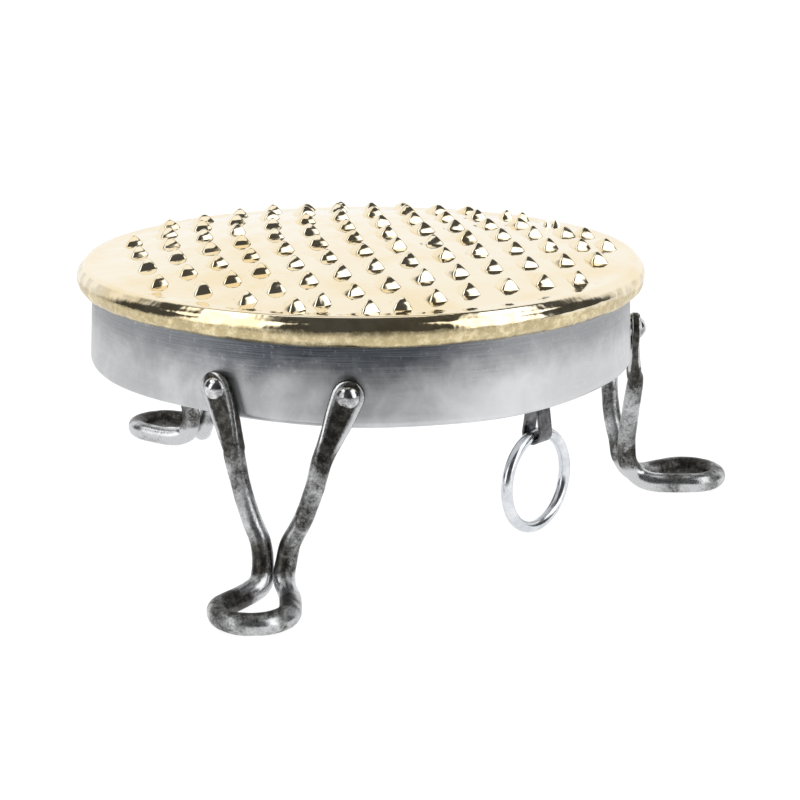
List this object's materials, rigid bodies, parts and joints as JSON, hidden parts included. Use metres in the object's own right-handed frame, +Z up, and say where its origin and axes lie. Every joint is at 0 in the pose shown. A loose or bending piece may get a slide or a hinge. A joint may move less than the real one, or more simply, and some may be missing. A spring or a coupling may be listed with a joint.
{
  "type": "coal forge",
  "caption": "Round steel fire pan on bent-bar legs with loop feet, a pull ring on a strap, and a domed brass lid raised all over in pyramid bosses.",
  "frame": {"origin": "on the floor, under the middle of the box round the whole forge", "axes": "+Z up; the front leg points towards -Y, the right leg towards +X and the pull ring hangs between them"},
  "size_m": [0.3954, 0.4137, 0.17],
  "materials": {
    "pan_steel": "satin, worn, with smoke and wipe marks",
    "fireclay": "matt fired clay",
    "iron": "matt cast iron",
    "lid_brass": "polished, hand dressed",
    "wire_steel": "plain drawn wire",
    "forged_bar": "forged, hammer marked, edges worn bright",
    "rivet_steel": "hammered and burnished",
    "plain_steel": "plain mild steel",
    "strap_steel": "dark folded sheet",
    "ring_zinc": "bright zinc plate"
  },
  "bodies": {
    "stand": {"pan": "pan_steel", "pan_rim_wire": "pan_steel", "hearth_lining": "fireclay", "tuyere_socket": "iron", "tuyere_rivets": "plain_steel", "leg_front": "forged_bar", "leg_right": "forged_bar", "leg_rear": "forged_bar", "rivets_front": "rivet_steel", "rivets_right": "rivet_steel", "rivets_rear": "rivet_steel", "burrs_front": "plain_steel", "burrs_right": "plain_steel", "burrs_rear": "plain_steel", "ring_strap": "strap_steel", "strap_rivets": "plain_steel"},
    "lid": {"lid_plate": "lid_brass", "lid_rim_wire": "wire_steel"},
    "grate": {"fire_grate": "iron"},
    "ring": {"pull_ring": "ring_zinc"}
  },
  "joints": [
    {"name": "lid_lift", "type": "slide", "parent": "stand", "child": "lid", "axis": [0, 0, 1], "range_m": [0, 0.12]},
    {"name": "grate_lift", "type": "slide", "parent": "stand", "child": "grate", "axis": [0, 0, 1], "range_m": [0, 0.045]},
    {"name": "ring_swing", "type": "hinge", "parent": "stand", "child": "ring", "pos_m": [0.06691, -0.07977, 0.0735], "axis": [0.6534, 0.757, 0], "range_deg": [-125, 105]}
  ]
}
